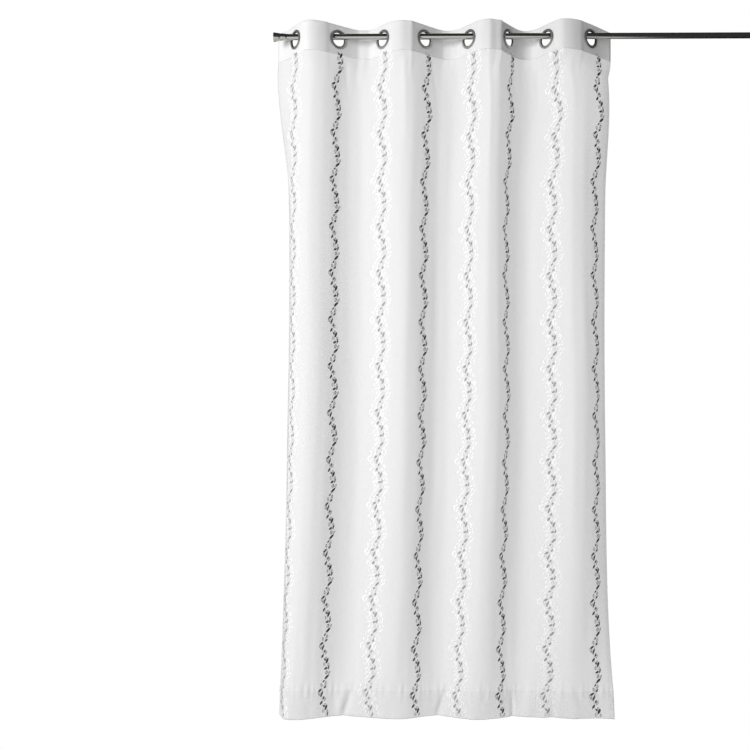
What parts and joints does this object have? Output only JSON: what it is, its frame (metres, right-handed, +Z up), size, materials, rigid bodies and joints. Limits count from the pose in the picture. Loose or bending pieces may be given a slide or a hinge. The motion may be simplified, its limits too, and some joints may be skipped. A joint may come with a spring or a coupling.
{
  "type": "sheer eyelet curtain on a curtain rod",
  "caption": "Sheer voile curtain panel with metal eyelets, hanging in soft upright folds from a thin metal rod with flared finials; embroidered leaf vines run down the cloth.",
  "frame": {"origin": "on the rod's axis, at the middle of the hanging curtain's width", "axes": "+Z up, +X along the rod to the right as seen from the room, -Y towards the room"},
  "size_m": [1.704, 0.1384, 2.4002],
  "materials": {
    "voile": "sheer plain-woven white voile",
    "heading": "doubled and stiffened white voile",
    "eyelet": "satin chrome",
    "rod": "satin steel",
    "grey_thread": "grey satin-stitch thread",
    "white_thread": "white satin-stitch thread"
  },
  "bodies": {
    "root": {"voile_panel": "voile", "heading_strip": "heading", "eyelet_1": "eyelet", "eyelet_2": "eyelet", "eyelet_3": "eyelet", "eyelet_4": "eyelet", "eyelet_5": "eyelet", "eyelet_6": "eyelet", "eyelet_7": "eyelet", "eyelet_8": "eyelet", "rod": "rod", "finial_left": "rod", "finial_right": "rod"}
  },
  "joints": []
}
